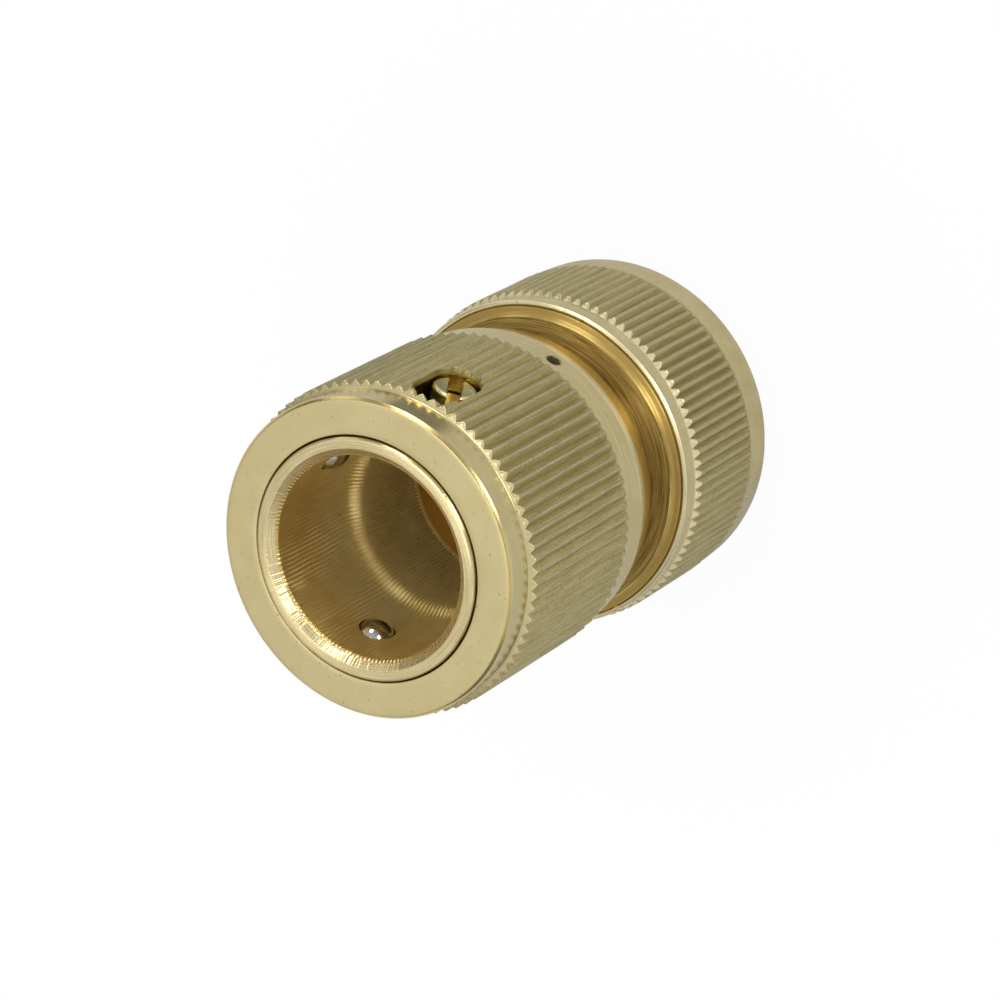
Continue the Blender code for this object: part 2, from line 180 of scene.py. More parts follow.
def addPiece(mesh, material, body, node):
    piece = addObject(mesh.name, mesh)
    mesh.materials.append(material)
    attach(piece, body)
    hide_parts(node)
    return piece


def cutWith(piece, cutters, sharpDegrees):
    for cutter in cutters:
        cut = piece.modifiers.new(cutter.name, "BOOLEAN")
        cut.operation = "DIFFERENCE"
        cut.solver = "EXACT"
        cut.object = cutter
    graph = bpy.context.evaluated_depsgraph_get()
    mesh = bpy.data.meshes.new_from_object(piece.evaluated_get(graph))
    material = piece.data.materials[0]
    piece.modifiers.clear()
    piece.data = mesh
    mesh.materials.clear()
    mesh.materials.append(material)
    mesh.polygons.foreach_set("material_index", [0] * len(mesh.polygons))
    for cutter in cutters:
        bpy.data.objects.remove(cutter)
    smoothTo(mesh, sharpDegrees)


def smoothTo(mesh, sharpDegrees):
    mesh.shade_smooth()
    mesh.set_sharp_from_angle(angle=radians(sharpDegrees))


def makeCutter(name, rings, placement):
    cutter = addObject(name, skinRings(name, rings, False))
    cutter.matrix_world = placement
    cutter.hide_render = True
    return cutter


def radialPlacement(degrees, radius, level):
    # Local Z points out from the axis, local X stays level
    around = Matrix.Rotation(radians(degrees), 4, "Z")
    lay = Matrix.Rotation(pi / 2, 4, "Y")
    spin = Matrix.Rotation(pi / 2, 4, "Z")
    return around @ Matrix.Translation((radius * mm, 0, level * mm)) @ lay @ spin


def wander(angles, lowest, highest, seed):
    # Smooth unevenness round a turn, between about -1 and 1
    dice = random.Random(seed)
    total = np.zeros_like(angles)
    for n in range(lowest, highest + 1):
        total += np.sin(n * angles + dice.uniform(0, fullTurn)) * dice.uniform(0.4, 1.0)
    return total / sqrt(highest - lowest + 1)


def placeInMm(add):
    place = add("TexCoord").outputs["Object"]
    return add("VectorMath", {0: place, "Scale": 1 / mm}, operation="SCALE")


def roundCoordinates(add):
    # A turned part's own coordinates in mm: direction round the axis, radius, level, and the way
    # along its outline, which grows with the radius on a flat face and with the level on a cylinder
    place = placeInMm(add)
    split = add("SeparateXYZ", {"Vector": place})
    flat = add("CombineXYZ", {"X": split.outputs["X"], "Y": split.outputs["Y"]})
    radius = add("VectorMath", {0: flat}, operation="LENGTH").outputs["Value"]
    angle = add("Math", {0: split.outputs["Y"], 1: split.outputs["X"]}, operation="ARCTAN2")
    direction = add("VectorMath", {0: flat}, operation="NORMALIZE")
    along = add("Math", {0: radius, 1: split.outputs["Z"]}, operation="ADD")
    return SimpleNamespace(place=place, level=split.outputs["Z"], radius=radius, angle=angle,
                           direction=direction, along=along)


def ringVector(add, around, spread):
    # Streaks that follow the tool round the part: slow along the turn, quick along the outline.
    # A larger spread makes them shorter.
    slow = add("VectorMath", {0: around.direction, "Scale": spread}, operation="SCALE")
    up = add("CombineXYZ", {"Z": around.along})
    return add("VectorMath", {0: slow, 1: up}, operation="ADD")


def newMaterial(name):
    material = bpy.data.materials.new(name)
    material.use_nodes = True
    tree = material.node_tree
    return material, partial(addNode, tree), tree.nodes["Principled BSDF"]


tumbledFinish = {
    "cloudy": "#cdbd88",     # where the media has dulled them
    "rubbed": "#efe6c4",     # burrs and tips that rub on things, and painted highlights on the tooth tips and on a band at the edge
    "dark": "#7b7150",       # tarnish
    "inside": "#c4ab68",     # machined bores and the slot's walls, not tumbled
    "roughPlain": 0.20,
    "roughFace": 0.36,       # the mouth's flat ring
    "roughKnurl": 0.43,
    "cloudSize": 2.4,        # mm
    "speckSize": 0.30,
    "grainSize": 0.16,       # mm, the tumbling media's small dents
    "grainDepth": 0.026,
    "feedSize": 0.10,        # mm, feed of the turning tool
    "feedDepth": 0.007,
    "dragSize": 0.13,        # mm, width of the knurling wheel's drag marks
    "dragDepth": 0.030,
    "dragStretch": 0.035,    # how slowly the drag changes along a tooth
    "pit": "#24241c",
    "pitRough": 0.75,
}


def tumbledBrass(name, places, pit=None):
    # Brass, turned, knurled and tumbled: satin khaki, bright on the tooth tips (wear and a painted
    # highlight) and dull in the grooves (tarnish and painted shade), with drag marks along the teeth and
    # faint rings on the plain faces
    v = SimpleNamespace(**tumbledFinish)
    at = SimpleNamespace(**places)
    material, add, shader = newMaterial(name)
    around = roundCoordinates(add)
    place = around.place
    level = around.level
    radius = around.radius
    grain = add("TexNoise", {"Vector": place, "Scale": 1 / v.grainSize, "Detail": 4.0, "Roughness": 0.6})
    cloud = add("TexNoise", {"Vector": place, "Scale": 1 / v.cloudSize, "Detail": 2.0})
    alongAxis = add("VectorMath", {0: place, 1: (1.0, 1.0, v.dragStretch)}, operation="MULTIPLY")
    drag = add("TexNoise", {"Vector": alongAxis, "Scale": 1 / v.dragSize, "Detail": 3.0})
    feed = add("TexNoise", {"Vector": ringVector(add, around, 0.35), "Scale": 1 / v.feedSize,
                            "Detail": 3.0})
    speckle = add("TexNoise", {"Vector": place, "Scale": 1 / v.speckSize, "Detail": 1.0})

    above = add("MapRange", {"Value": level, "From Min": at.knurlLow, "From Max": at.knurlLow + 0.2})
    below = add("MapRange", {"Value": level, "From Min": at.knurlHigh, "From Max": at.knurlHigh - 0.1})
    outer = add("MapRange", {"Value": radius, "From Min": at.skin, "From Max": at.skin + 0.1})
    atFront = add("Math", {0: level, 1: at.front}, operation="GREATER_THAN")
    atRear = add("Math", {0: level, 1: at.rear}, operation="LESS_THAN")
    outer = add("Math", {0: outer, 1: atFront}, operation="MAXIMUM")
    outer = add("Math", {0: outer, 1: atRear}, operation="MAXIMUM")
    banded = add("Math", {0: above, 1: below}, operation="MULTIPLY")
    inKnurl = add("Math", {0: banded, 1: outer}, operation="MULTIPLY")
    onPlain = add("Math", {0: 1.0, 1: inKnurl}, operation="SUBTRACT")
    # How far a point lies below the turned blank that the teeth were rolled into
    blank = add("Math", {0: level, 1: -at.frontSlope, 2: at.root + at.knurlHigh * at.frontSlope},
                operation="MULTIPLY_ADD")
    blank = add("Math", {0: blank, 1: at.crest}, operation="MINIMUM")
    depth = add("Math", {0: blank, 1: radius}, operation="SUBTRACT")
    # The grooves take the flank colours, a little darker: tarnish and painted shade
    grooveTarnishAndShade = add("MapRange", {"Value": depth, "From Min": 0.05, "From Max": at.fade})
    crest = add("MapRange", {"Value": depth, "From Min": 0.06, "From Max": 0.03})
    fresh = add("MapRange", {"Value": blank, "From Min": at.crest - 0.01, "From Max": at.crest - 0.04})

    # Fine scratches left by the tool show bright on the plain bands
    scratch = add("MapRange", {"Value": feed, "From Min": 0.55, "From Max": 0.70, "To Max": 0.55})
    offFace = add("Math", {0: 1.0, 1: atFront}, operation="SUBTRACT")
    scratch = add("Math", {0: scratch, 1: offFace}, operation="MULTIPLY")
    # A band round the edge level is painted bright as a highlight: the collar's rear taper, the nut's front
    # rim
    paintedHighlightBand = add("Math", {0: level, 1: at.edge, 2: at.edgeHalf}, operation="COMPARE")
    plain = at.clean
    for factor, above in ((cloud, v.cloudy), (scratch, v.rubbed), (paintedHighlightBand, v.rubbed)):
        plain = add("Mix", {"Factor": factor, "A": plain, "B": above}, data_type="RGBA")
    mottle = add("Math", {0: drag, 1: grain}, operation="ADD")
    mottle = add("MapRange", {"Value": mottle, "From Min": 0.86, "From Max": 1.14})
    flank = add("Mix", {"Factor": mottle, "A": at.flank, "B": at.flankDull}, data_type="RGBA")
    # The tooth tips are painted bright: wear and a painted highlight
    rubbed = add("MapRange", {"Value": drag, "From Min": 0.56, "From Max": 0.68, "To Max": 0.45})
    rubbed = add("Math", {0: rubbed, 1: crest}, operation="MULTIPLY")
    teeth = at.tip
    for factor, above in ((mottle, at.tipDull), (fresh, at.clean), (grooveTarnishAndShade, flank), (rubbed, v.rubbed)):
        teeth = add("Mix", {"Factor": factor, "A": teeth, "B": above}, data_type="RGBA")
    colour = add("Mix", {"Factor": inKnurl, "A": plain, "B": teeth}, data_type="RGBA")
    colour = add("Mix", {"Factor": outer, "A": v.inside, "B": colour}, data_type="RGBA")
    speck = add("MapRange", {"Value": speckle, "From Min": 0.28, "From Max": 0.22, "To Max": 0.6})
    colour = add("Mix", {"Factor": speck, "A": colour, "B": v.dark}, data_type="RGBA")
    if pit:
        away = add("VectorMath", {0: place, 1: pit}, operation="DISTANCE")
        uneven = add("Math", {0: grain, 1: 0.5, 2: away}, operation="MULTIPLY_ADD")
        spot = add("MapRange", {"Value": uneven, "From Min": 1.02, "From Max": 0.82, "To Max": 0.92})
        colour = add("Mix", {"Factor": spot, "A": colour, "B": v.pit}, data_type="RGBA")

    cone = add("Math", {0: fresh, 1: crest}, operation="MULTIPLY")
    uncut = add("Math", {0: 1.0, 1: cone}, operation="SUBTRACT")
    rolled = add("Math", {0: inKnurl, 1: uncut}, operation="MULTIPLY")
    smooth = add("MapRange", {"Value": atFront, "To Min": v.roughPlain, "To Max": v.roughFace})
    rough = add("MapRange", {"Value": rolled, "To Min": smooth, "To Max": v.roughKnurl})
    rough = add("Math", {0: grain, 1: 0.14, 2: rough}, operation="MULTIPLY_ADD")
    rough = add("Math", {0: rough, 1: 0.07}, operation="SUBTRACT")
    if pit:
        rough = add("MapRange", {"Value": spot, "To Min": rough, "To Max": v.pitRough})

    dragHeight = add("Math", {0: drag, 1: rolled}, operation="MULTIPLY")
    grainShare = add("MapRange", {"Value": rolled, "To Min": 0.3})
    grainHeight = add("Math", {0: grain, 1: grainShare}, operation="MULTIPLY")
    feedHeight = add("Math", {0: feed, 1: onPlain}, operation="MULTIPLY")
    normal = None
    for height, depth in ((dragHeight, v.dragDepth), (grainHeight, v.grainDepth),
                          (feedHeight, v.feedDepth)):
        normal = add("Bump", {"Height": height, "Distance": depth * mm, "Normal": normal})
    setInputs(shader, {"Base Color": colour, "Metallic": 1.0, "Roughness": rough, "Normal": normal})
    return material


turnedFinish = {
    "bright": "#eedfae",     # the mouth
    "bored": "#dfc078",      # inside the bore, by the mouth, painted darker as shade
    "boredDeep": "#fff0b6",  # and further in, painted paler as light
    "deep": "#b9964e",
    "gold": "#e8cc7c",       # flange, neck and the cone deep in the bore, which is painted dark brown as shade
    "umber": "#7e5c22",
    "hollow": "#c9ab62",     # the groove outside the flange's bead, painted darker as shade
    "dirt": "#4a3c1e",
    "roughMouth": 0.20,
    "roughBore": 0.31,
    "roughCone": 0.38,       # below the bore, and outside
    "furtherIn": (40, 34),   # levels between which the bore's painted shade turns to painted light
    "feedSize": 0.11,        # mm between tool marks on the flange and neck
    "feedDepth": 0.022,
    "bandSize": 0.7,         # mm, the broader bands between passes of the tool
    "bandDepth": 0.012,
    "chatterCount": 153,     # lines round the bore, 0.36 mm apart
    "chatterDepth": 0.034,
    "chatterBend": 5.0,      # how far the lines wander
    "patchSize": 3.4,        # mm, where the chatter comes and goes
    "bendSize": 3.0,
    "grainSize": 0.16,
    "grainDepth": 0.002,
    "facetCount": 30.0,      # chatter on the lead-in
    "facetDepth": 0.06,
    "speckSize": 0.30,
    "brushed": 0.92,         # how far the tool marks draw a highlight out across them
}


def turnedBrass(name, places):
    # Brass straight from the lathe: bright gold with streaks that follow the tool, and chatter
    # lines along the bore
    v = SimpleNamespace(**turnedFinish)
    at = SimpleNamespace(**places)
    material, add, shader = newMaterial(name)
    around = roundCoordinates(add)
    place = around.place
    level = around.level
    radius = around.radius
    feed = add("TexNoise", {"Vector": ringVector(add, around, 0.30), "Scale": 1 / v.feedSize, "Detail": 4.0,
                            "Roughness": 0.65})
    band = add("TexNoise", {"Vector": ringVector(add, around, 0.9), "Scale": 1 / v.bandSize, "Detail": 2.0})
    grain = add("TexNoise", {"Vector": place, "Scale": 1 / v.grainSize, "Detail": 3.0})
    patch = add("TexNoise", {"Vector": place, "Scale": 1 / v.patchSize, "Detail": 1.0})
    bend = add("TexNoise", {"Vector": place, "Scale": 1 / v.bendSize, "Detail": 1.0})
    speckle = add("TexNoise", {"Vector": place, "Scale": 1 / v.speckSize, "Detail": 1.0})

    nearAxis = add("MapRange", {"Value": radius, "From Min": at.bore + 0.3, "From Max": at.bore + 0.1})
    aboveCone = add("MapRange", {"Value": level, "From Min": at.boreLow, "From Max": at.boreLow + 0.5})
    inBore = add("Math", {0: nearAxis, 1: aboveCone}, operation="MULTIPLY")
    outside = add("Math", {0: 1.0, 1: inBore}, operation="SUBTRACT")
    atMouth = add("MapRange", {"Value": level, "From Min": at.leadIn - 0.1, "From Max": at.leadIn})
    insideRim = add("MapRange", {"Value": radius, "From Min": at.rim + 0.05, "From Max": at.rim - 0.05})
    onLeadIn = add("Math", {0: atMouth, 1: insideRim}, operation="MULTIPLY")

    turns = add("Math", {0: around.angle, 1: v.chatterCount}, operation="MULTIPLY")
    phase = add("Math", {0: bend, 1: v.chatterBend, 2: turns}, operation="MULTIPLY_ADD")
    wave = add("Math", {0: phase}, operation="SINE")
    chatterShare = add("MapRange", {"Value": patch, "From Min": 0.34, "From Max": 0.56, "To Min": 0.15})
    chatterShare = add("Math", {0: chatterShare, 1: inBore}, operation="MULTIPLY")
    chatter = add("Math", {0: wave, 1: chatterShare}, operation="MULTIPLY")
    facet = add("TexNoise", {"Vector": around.direction, "Scale": v.facetCount, "Detail": 2.0})
    facets = add("Math", {0: facet, 1: onLeadIn}, operation="MULTIPLY")

    streak = add("MapRange", {"Value": feed, "From Min": 0.38, "From Max": 0.64, "To Max": 0.85})
    colour = add("Mix", {"Factor": streak, "A": v.bright, "B": v.deep}, data_type="RGBA")
    shade = add("MapRange", {"Value": inBore, "To Min": 0.5, "To Max": 1.0})
    # Painted light and shade: the bore is painted darker by the mouth and paler further in
    start, end = v.furtherIn
    further = add("MapRange", {"Value": level, "From Min": start, "From Max": end})
    bored = add("Mix", {"Factor": further, "A": v.bored, "B": v.boredDeep}, data_type="RGBA")
    plain = add("Mix", {"Factor": inBore, "A": v.bright, "B": bored}, data_type="RGBA")
    colour = add("Mix", {"Factor": shade, "A": colour, "B": plain}, data_type="RGBA")
    # Dark brown in the tool streaks, and as painted shade on the cone and passage deep in the bore
    lowColour = v.gold
    for factor in (streak, nearAxis):
        lowColour = add("Mix", {"Factor": factor, "A": lowColour, "B": v.umber}, data_type="RGBA")
    colour = add("Mix", {"Factor": aboveCone, "A": lowColour, "B": colour}, data_type="RGBA")
    # Painted shade: outside the bead the flange is painted darker
    hollow = add("MapRange", {"Value": radius, "From Min": at.bead, "From Max": at.bead + 0.1,
                              "To Max": 0.85})
    speck = add("MapRange", {"Value": speckle, "From Min": 0.27, "From Max": 0.22, "To Max": 0.7})
    speck = add("Math", {0: speck, 1: inBore}, operation="MULTIPLY")
    for factor, above in ((hollow, v.hollow), (speck, v.dirt)):
        colour = add("Mix", {"Factor": factor, "A": colour, "B": above}, data_type="RGBA")

    mouth = add("MapRange", {"Value": inBore, "To Min": v.roughMouth, "To Max": v.roughBore})
    rough = add("MapRange", {"Value": aboveCone, "To Min": v.roughCone, "To Max": mouth})
    rough = add("Math", {0: feed, 1: 0.10, 2: rough}, operation="MULTIPLY_ADD")

    feedShare = add("MapRange", {"Value": outside, "To Min": 0.3})
    feedHeight = add("Math", {0: feed, 1: feedShare}, operation="MULTIPLY")
    bandHeight = add("Math", {0: band, 1: outside}, operation="MULTIPLY")
    normal = None
    for height, depth in ((bandHeight, v.bandDepth), (chatter, v.chatterDepth), (facets, v.facetDepth),
                          (feedHeight, v.feedDepth), (grain, v.grainDepth)):
        normal = add("Bump", {"Height": height, "Distance": depth * mm, "Normal": normal})
    tangent = add("Tangent", direction_type="RADIAL", axis="Z")
    setInputs(shader, {
        "Base Color": colour, "Metallic": 1.0, "Roughness": rough, "Normal": normal,
        "Anisotropic": v.brushed, "Anisotropic Rotation": 0.25, "Tangent": tangent,
    })
    return material


screwFinish = {
    "face": "#cfc795",       # end of the head, barrelled to a pale satin
    "machined": "#cdbb7e",   # sides and driver slot, as cut
    "grainSize": 0.4,        # mm
    "grainDepth": 0.002,
}


def screwBrass(name, headTop):
    # Brass, machined and barrelled: pale and smooth on the head's end, deep gold down its sides
    # and in the driver slot, where the media doesn't reach
    v = SimpleNamespace(**screwFinish)
    material, add, shader = newMaterial(name)
    place = placeInMm(add)
    grain = add("TexNoise", {"Vector": place, "Scale": 1 / v.grainSize, "Detail": 3.0})
    angle = radians(bodySizes["screwAngle"])
    reach = add("VectorMath", {0: place, 1: (cos(angle), sin(angle), 0.0)}, operation="DOT_PRODUCT")
    onFace = add("MapRange", {"Value": reach, "From Min": headTop - 0.50, "From Max": headTop - 0.38})
    colour = add("Mix", {"Factor": onFace, "A": v.machined, "B": v.face}, data_type="RGBA")
    cloud = add("MapRange", {"Value": grain, "From Min": 0.35, "From Max": 0.7, "To Max": 0.35})
    colour = add("Mix", {"Factor": cloud, "A": colour, "B": v.machined}, data_type="RGBA")
    rough = add("MapRange", {"Value": grain, "To Min": 0.18, "To Max": 0.34})
    normal = add("Bump", {"Height": grain, "Distance": v.grainDepth * mm})
    setInputs(shader, {"Base Color": colour, "Metallic": 1.0, "Roughness": rough, "Normal": normal})
    return material


# clouds and pattern: size in mm and detail. lines: how short the die's lines are. span: the part
# of the pattern that turns into roughness. relief: mm.
lappedSteel = {          # hardened chrome steel, lapped: a clean mirror with a faint haze of handling
    "pale": "#bcbcb9", "dull": "#a8a8a6", "clouds": (0.5, 3.0), "pattern": (0.5, 3.0), "lines": 0,
    "span": (0.35, 0.7), "rough": (0.05, 0.14), "relief": 0.001, "shader": {"Metallic": 1.0},
}
drawnSteel = {           # spring steel wire, drawn: grey with fine lines from the die
    "pale": "#b4b4b6", "dull": "#84848a", "clouds": (0.12, 4.0), "pattern": (0.12, 4.0), "lines": 0.5,
    "span": (0.3, 0.7), "rough": (0.24, 0.38), "relief": 0.004, "shader": {"Metallic": 1.0},
}
mouldedAcetal = {        # acetal, injection moulded: a soft white sheen with the mould's spark texture
    "pale": "#eceae2", "dull": "#e2dfd4", "clouds": (4.0, 1.0), "pattern": (0.15, 2.0), "lines": 0,
    "span": (0.3, 0.7), "rough": (0.36, 0.50), "relief": 0.006, "shader": {"IOR": 1.48},
}


def evenFinish(name, finish):
    # A surface that is alike all over: clouds in its colour and a fine pattern in its sheen
    v = SimpleNamespace(**finish)
    material, add, shader = newMaterial(name)
    around = roundCoordinates(add)
    where = ringVector(add, around, v.lines) if v.lines else around.place
    cloud, fine = [add("TexNoise", {"Vector": where, "Scale": 1 / size, "Detail": detail})
                   for size, detail in (v.clouds, v.pattern)]
    colour = add("Mix", {"Factor": cloud, "A": v.pale, "B": v.dull}, data_type="RGBA")
    rough = add("MapRange", {"Value": fine, "From Min": v.span[0], "From Max": v.span[1],
                             "To Min": v.rough[0], "To Max": v.rough[1]})
    normal = add("Bump", {"Height": fine, "Distance": v.relief * mm})
    setInputs(shader, {"Base Color": colour, "Roughness": rough, "Normal": normal, **v.shader})
    return material


bodySizes = {            # mm
    "columns": 280,
    "boreRadius": 8.78, "leadIn": 0.8, "mouthTop": 44.76,
    "barrelRadius": 10.50, "rimEdge": 0.32, "rimLevel": 44.3, "rimInner": 9.7, "rimUneven": 0.012,
    "springShoulder": (11.85, 22.2, 20.6),
    "neckRadius": 9.9, "neckFillet": 1.2,
    "flangeRadius": 14.27, "beadRadius": 13.45, "flangeTop": 16.56, "flangeBottom": 14.16,
    "bead": ((-0.10, 0.0), (0.0, 0.05), (0.12, -0.10), (0.28, -0.18), (0.34, -0.30)),
    "reliefRadius": 11.7, "threadTop": 12.96,
    "threadRadius": 12.3, "threadDepth": 0.55, "threadPitch": 1.5, "threadEnd": 9.56,
    "tailRadius": 5.9, "barbRadius": 6.5, "tailEnd": 0.8,
    "waterRadius": 4.5, "sealRadius": 8.0, "coneFoot": 20.3, "sealEnd": 23.8, "step": (32.42, 33.2),
    "stepUneven": 0.02,
    "ballTrack": 9.68, "ballRadius": 1.75, "ballLevel": 39.0, "ballAngles": (100, 220, 340),
    "screwAngle": 40, "screwLevel": 36.1, "screwHole": 1.25,
}


def threadWave(level, angles, pitch):
    # 1 on a crest, 0 in a root, with short flats on both
    phase = (level / pitch - angles / fullTurn) % 1.0
    slope = np.abs(2 * phase - 1)
    return np.clip((slope - 0.2) / 0.6, 0, 1)


def bodyShape(r, z, angles):
    v = SimpleNamespace(**bodySizes)
    stepLow, stepHigh = v.step
    if v.threadEnd <= z[0] <= v.threadTop and r[0] > v.reliefRadius - 0.1:
        cut = v.threadDepth * (1 - threadWave(z[0], angles, v.threadPitch))
        r = np.minimum(r[0], v.threadRadius - cut)
    if z[0] > v.rimLevel and r[0] > v.rimInner:
        r = r + v.rimUneven * wander(angles, 9, 40, 5)
    if stepLow - 0.12 < z[0] < stepHigh + 0.1 and r[0] < v.boreRadius + 0.02:
        z = z + v.stepUneven * wander(angles, 3, 11, 8)
    return r, z


def makeBody(material):
    v = SimpleNamespace(**bodySizes)
    shoulder, shoulderTop, shoulderBottom = v.springShoulder
    stepLow, stepHigh = v.step
    outline = [
        (v.boreRadius + v.leadIn, v.mouthTop, 0.12),
        (v.barrelRadius, v.mouthTop, v.rimEdge),
        (v.barrelRadius, shoulderTop, 0.1),
        (shoulder, shoulderTop, 0.15),
        (shoulder, shoulderBottom, 0.15),
        (v.neckRadius, shoulderBottom, 0.3),
        (v.neckRadius, v.flangeTop, v.neckFillet),
        *[(v.beadRadius + out, v.flangeTop + up, 0.05) for out, up in v.bead],
        (v.flangeRadius, v.flangeTop - 0.34, 0.08),
        (v.flangeRadius, v.flangeBottom, 0.1),
        (v.reliefRadius, v.flangeBottom, 0.1),
        (v.reliefRadius, v.threadTop, 0.0),
        (v.threadRadius, v.threadTop - 0.6, 0.0),
        (v.threadRadius, v.threadEnd + 0.5, 0.0),
        (v.threadRadius - 0.5, v.threadEnd, 0.1),
    ]
    barbPitch = (v.threadEnd - v.tailEnd) / 3
    for i in range(3):
        top = v.threadEnd - i * barbPitch
        outline += [(v.tailRadius, top, 0.1), (v.tailRadius, top - 0.7, 0.05)]
        outline += [(v.barbRadius, top - 0.85, 0.08)]
    outline += [
        (v.tailRadius, v.tailEnd, 0.15),
        (v.waterRadius, v.tailEnd, 0.15),
        (v.waterRadius, v.coneFoot, 0.3),
        (v.sealRadius, v.sealEnd, 0.3),
        (v.sealRadius, stepLow, 0.5),
        (v.boreRadius, stepHigh, 0.5),
        (v.boreRadius, v.mouthTop - v.leadIn, 0.1),
    ]
    points = softCorners(outline, 5)
    fine = divideRuns(points + [points[0]], 0.8)[:-1]
    rows = []
    for start, end in zip(fine, fine[1:] + fine[:1]):
        rows.append(start)
        lower, upper = sorted((start[1], end[1]))
        inThread = lower > v.threadEnd - 0.06 and upper < v.threadTop + 0.14
        if inThread and start[0] > v.reliefRadius - 0.1:
            rows += divideRuns([start, end], 0.1)[1:-1]
    mesh = skinRings("socketBody", turnedRings(rows, evenAngles(v.columns), bodyShape))
    body = addPiece(mesh, material, "body", "coupling_body")
    cutters = []
    # The pockets narrow towards the bore, so that the balls can't fall through
    narrow = sqrt(v.ballRadius ** 2 - 0.9 ** 2) + 0.1
    pocket = v.ballRadius + 0.1
    for degrees in v.ballAngles:
        rings = turnedRings([(narrow - 0.2, -1.9), (narrow, -0.9), (pocket, 0.0), (pocket, 2.75)],
                            evenAngles(48))
        placement = radialPlacement(degrees, v.ballTrack, v.ballLevel)
        cutters.append(makeCutter(f"pocket{degrees}", rings, placement))
    rings = turnedRings([(v.screwHole, -3.0), (v.screwHole, 1.0)], evenAngles(32))
    placement = radialPlacement(v.screwAngle, v.barrelRadius, v.screwLevel)
    cutters.append(makeCutter("screwHole", rings, placement))
    cutWith(body, cutters, 34)


collarSizes = {          # mm
    "teeth": 84, "rootRadius": 14.05, "crestRadius": 14.5,
    "tipFlat": 0.14, "front": 44.5, "rear": 19.8, "bore": 10.62, "shoulderRadius": 13.85,
    "knurlTop": 41.75, "stepDrop": 0.35, "knurlBottom": 25.61,
    "rearShoulder": 14.0, "taperTop": 22.7, "rearEdge": 13.28,
    "chamber": 12.05, "springSeat": 33.0, "rampFoot": 37.25, "rampRadius": 11.11,
    "recessRadius": 13.02, "lip": 0.5, "edge": 0.18, "chamfer": 0.28,
    "slotTop": 41.25, "slotBottom": 33.9, "slotHalf": 2.05,
    # distance from the axis, how much wider the slot is there, and how ragged
    "slotRim": ((9.0, 0.0, 0.0), (13.3, 0.0, 0.0), (13.9, 0.02, 0.03), (14.25, 0.10, 0.09),
                (14.6, 0.2, 0.15), (15.6, 0.2, 0.15)),
    "pitAngle": 29.7, "pitLevel": 24.05, "pitSize": 0.52, "pitDepth": 0.26, "pitBand": (22.9, 25.4),
    "dentDepth": 0.05,
}


def knurlAngles(teeth, tipFlat):
    low = 0.5 - tipFlat / 2
    across = np.array([0.0, 0.05, low * 0.5, low, 0.5, 1 - low, 1 - low * 0.5, 0.95])
    return ((np.arange(teeth)[:, None] + across[None, :]) / teeth * fullTurn).ravel()


def toothHeights(angles, level, teeth, tipFlat, seed):
    # 0 in the groove and 1 on the crest, with each tooth rolled a little unlike its neighbours
    phase = angles / fullTurn * teeth
    index = np.floor(phase + 1e-6).astype(int) % teeth
    across = phase - np.floor(phase + 1e-6)
    table = np.random.RandomState(seed).uniform(-1, 1, (teeth, 16))
    spot = level / 2.2 + 3.0
    k = int(np.floor(spot)) % 15
    t = spot - np.floor(spot)
    along = (table[:, k] * (1 - t) + table[:, k + 1] * t)[index]
    wave = np.clip((1 - np.abs(2 * across - 1)) / (1 - tipFlat), 0.03, 1.0)
    return wave * (0.955 + 0.045 * along)


def collarShape(r, z, angles):
    v = SimpleNamespace(**collarSizes)
    level = z[0]
    if v.knurlBottom <= level <= v.knurlTop and r[0] > v.shoulderRadius - 0.05:
        depth = v.crestRadius - v.rootRadius
        teeth = v.rootRadius + depth * toothHeights(angles, level, v.teeth, v.tipFlat, 3)
        r = np.minimum(r, teeth)
    if v.pitBand[0] < level < v.pitBand[1] and r[0] > v.rearShoulder - 0.3:
        across = (angles - radians(v.pitAngle)) * v.rearShoulder
        away = np.hypot(across, level - v.pitLevel) / v.pitSize
        r = r - v.pitDepth * np.exp(-away ** 4)
    if level > v.front - 0.2 and r[0] > v.shoulderRadius - 0.35:
        r = r - v.dentDepth * np.clip(wander(angles, 30, 80, 21) - 1.1, 0, 1)
    return r, z


